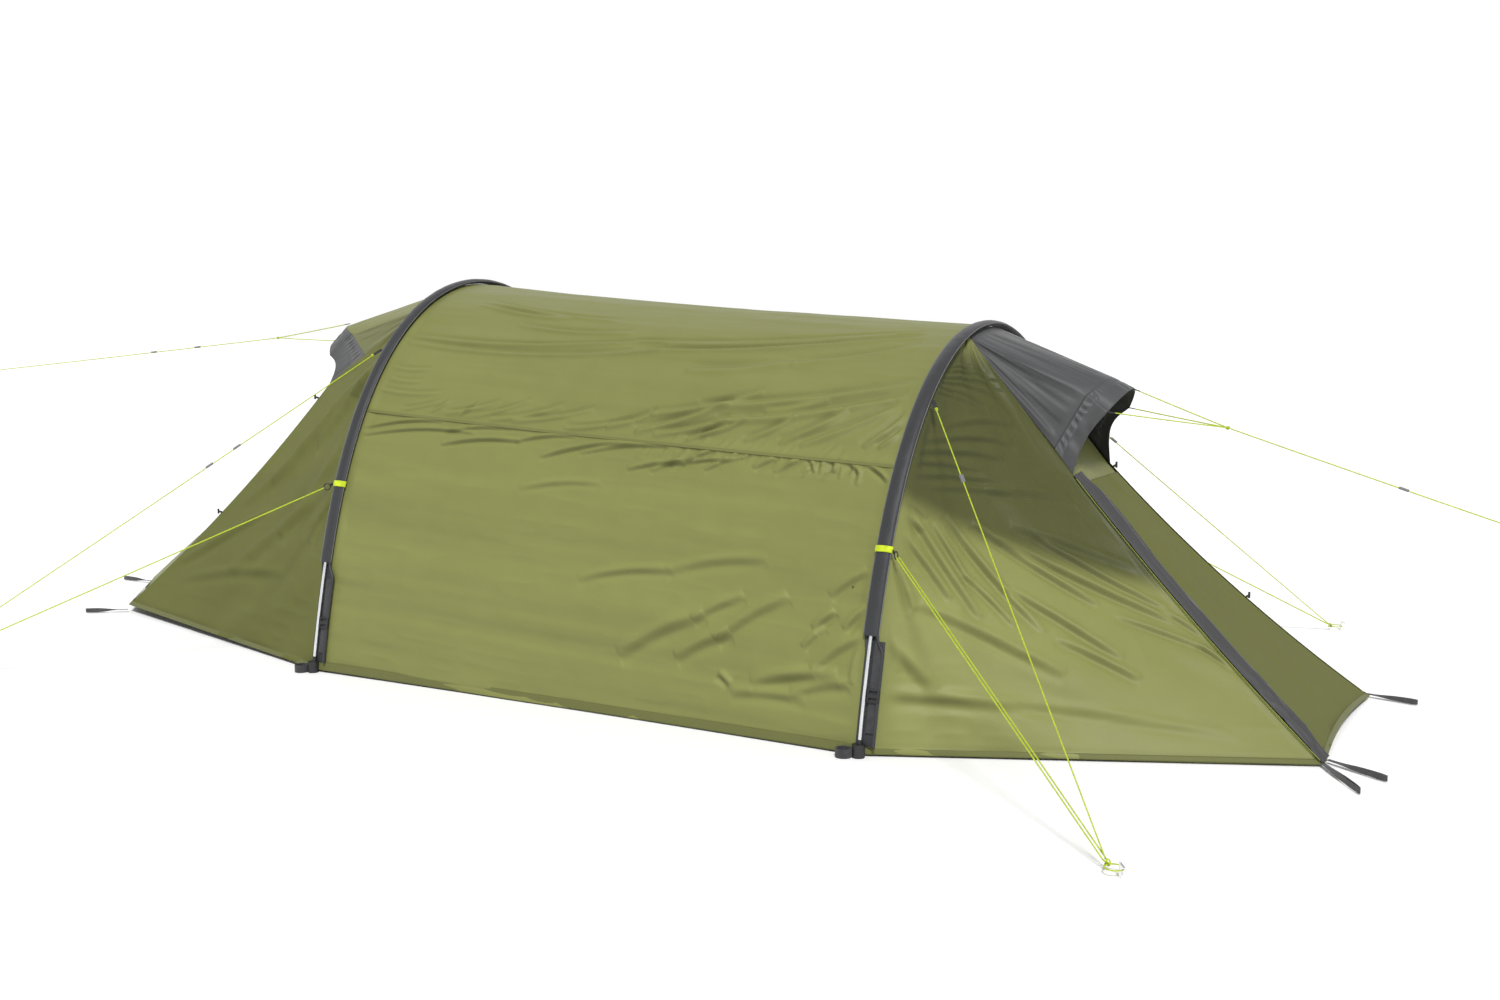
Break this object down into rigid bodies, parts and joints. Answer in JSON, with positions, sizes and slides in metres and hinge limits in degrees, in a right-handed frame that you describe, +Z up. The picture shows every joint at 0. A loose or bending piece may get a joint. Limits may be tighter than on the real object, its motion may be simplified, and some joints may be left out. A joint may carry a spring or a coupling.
{
  "type": "tunnel tent",
  "caption": "Pitched tunnel tent on two hoop poles, with a hooded door end, a hooded pointed foot end, an inner tent, guy lines and peg loops.",
  "frame": {"origin": "on the ground at the middle of the pitched tent, its peg loops and pegs included and its guy lines left out", "axes": "+X towards the door end, +Y to the far side, where the door is hinged, +Z up"},
  "size_m": [5.5188, 2.8708, 1.107],
  "materials": {
    "olive_fly": "ripstop, slight sheen",
    "grey_fly": "ripstop, slight sheen",
    "sleeve_fabric": "woven, matt",
    "aluminium": "satin",
    "shock_cord": "braided",
    "black_plastic": "moulded",
    "grey_plastic": "moulded",
    "grey_webbing": "woven webbing",
    "neon_cord": "braided, reflective fleck",
    "mesh": "fine mesh",
    "zip_tape": "woven tape with a nylon coil",
    "neon_pull": "glossy",
    "inner_fabric": "light woven nylon",
    "groundsheet_fabric": "coated nylon",
    "black_elastic": "braided"
  },
  "bodies": {
    "tent": {"corner_peg_loops": "grey_webbing", "door_zip_fixed_tape": "zip_tape", "far_side_panel": "olive_fly", "foot_cups": "black_plastic", "foot_peg_loops": "grey_webbing", "foot_straps": "grey_webbing", "front_far_guys": "neon_cord", "front_far_side_panel": "olive_fly", "front_hood": "grey_fly", "front_hood_band": "grey_fly", "front_hood_guy": "neon_cord", "front_near_guys": "neon_cord", "front_near_side_panel": "olive_fly", "front_pole_sections": "aluminium", "front_pole_sleeve": "sleeve_fabric", "front_vent_panel": "olive_fly", "guy_knots": "neon_cord", "guy_line_clips": "grey_plastic", "guy_pegs": "aluminium", "guy_webbing_tabs": "grey_webbing", "hem_tapes": "grey_webbing", "hood_bridles": "neon_cord", "inner_canopy": "inner_fabric", "inner_foot_wall": "inner_fabric", "inner_front_wall": "inner_fabric", "inner_groundsheet": "groundsheet_fabric", "inner_hangers": "black_elastic", "inner_zip": "zip_tape", "ladder_lock_buckles": "black_plastic", "lower_guy_clips": "aluminium", "near_side_panel": "olive_fly", "pole_ferrules": "aluminium", "pole_shock_cords": "shock_cord", "pole_tips": "black_plastic", "rear_end_panel": "olive_fly", "rear_far_guys": "neon_cord", "rear_far_side_panel": "olive_fly", "rear_hood": "olive_fly", "rear_hood_band": "grey_fly", "rear_hood_guy": "neon_cord", "rear_near_guys": "neon_cord", "rear_near_side_panel": "olive_fly", "rear_pole_sections": "aluminium", "rear_pole_sleeve": "sleeve_fabric", "roof_panel": "olive_fly", "tie_back_toggles": "black_plastic", "vent_meshes": "mesh"},
    "door": {"door_panel": "olive_fly", "storm_flap": "grey_fly", "door_zip": "zip_tape", "door_peg_loop": "grey_webbing"},
    "door_slider": {"door_zip_slider": "neon_pull"},
    "inner_door_leaf": {"inner_door": "inner_fabric"},
    "inner_slider": {"inner_zip_slider": "neon_pull"},
    "front_near_runner": {"front_near_tensioner": "grey_plastic"},
    "front_far_runner": {"front_far_tensioner": "grey_plastic"},
    "rear_near_runner": {"rear_near_tensioner": "grey_plastic"},
    "rear_far_runner": {"rear_far_tensioner": "grey_plastic"},
    "front_hood_runner": {"front_hood_tensioner": "grey_plastic"},
    "rear_hood_runner": {"rear_hood_tensioner": "grey_plastic"}
  },
  "joints": [
    {"name": "door_hinge", "type": "hinge", "parent": "tent", "child": "door", "pos_m": [2.11, 0.358, 0.005], "axis": [-0.7186, -0.2149, 0.6613], "range_deg": [0, 36]},
    {"name": "door_zip_travel", "type": "hinge", "parent": "door", "child": "door_slider", "pos_m": [3.07458, -2.90424, 2.57104], "axis": [0.603, 0.6662, 0.4388], "range_deg": [0, 12.4]},
    {"name": "inner_door_hinge", "type": "hinge", "parent": "tent", "child": "inner_door_leaf", "pos_m": [1.12475, 0, 0.11193], "axis": [0, 1, 0], "range_deg": [0, 108]},
    {"name": "inner_zip_travel", "type": "hinge", "parent": "tent", "child": "inner_slider", "pos_m": [1.12475, 0, 0.11193], "axis": [-0.9945, 0, -0.1045], "range_deg": [0, 160]},
    {"name": "front_near_tensioner_travel", "type": "slide", "parent": "tent", "child": "front_near_runner", "axis": [0.5214, -0.6087, -0.5981], "range_m": [-0.18, 0.3]},
    {"name": "front_far_tensioner_travel", "type": "slide", "parent": "tent", "child": "front_far_runner", "axis": [0.5214, 0.6087, -0.5981], "range_m": [-0.18, 0.3]},
    {"name": "rear_near_tensioner_travel", "type": "slide", "parent": "tent", "child": "rear_near_runner", "axis": [-0.5651, -0.6107, -0.5547], "range_m": [-0.05, 0.3]},
    {"name": "rear_far_tensioner_travel", "type": "slide", "parent": "tent", "child": "rear_far_runner", "axis": [-0.5651, 0.6107, -0.5547], "range_m": [-0.05, 0.3]},
    {"name": "front_hood_tensioner_travel", "type": "slide", "parent": "tent", "child": "front_hood_runner", "axis": [0.9533, 0, -0.3019], "range_m": [-0.3, 0.12]},
    {"name": "rear_hood_tensioner_travel", "type": "slide", "parent": "tent", "child": "rear_hood_runner", "axis": [-0.9959, 0, -0.0909], "range_m": [-0.12, 0.3]}
  ]
}
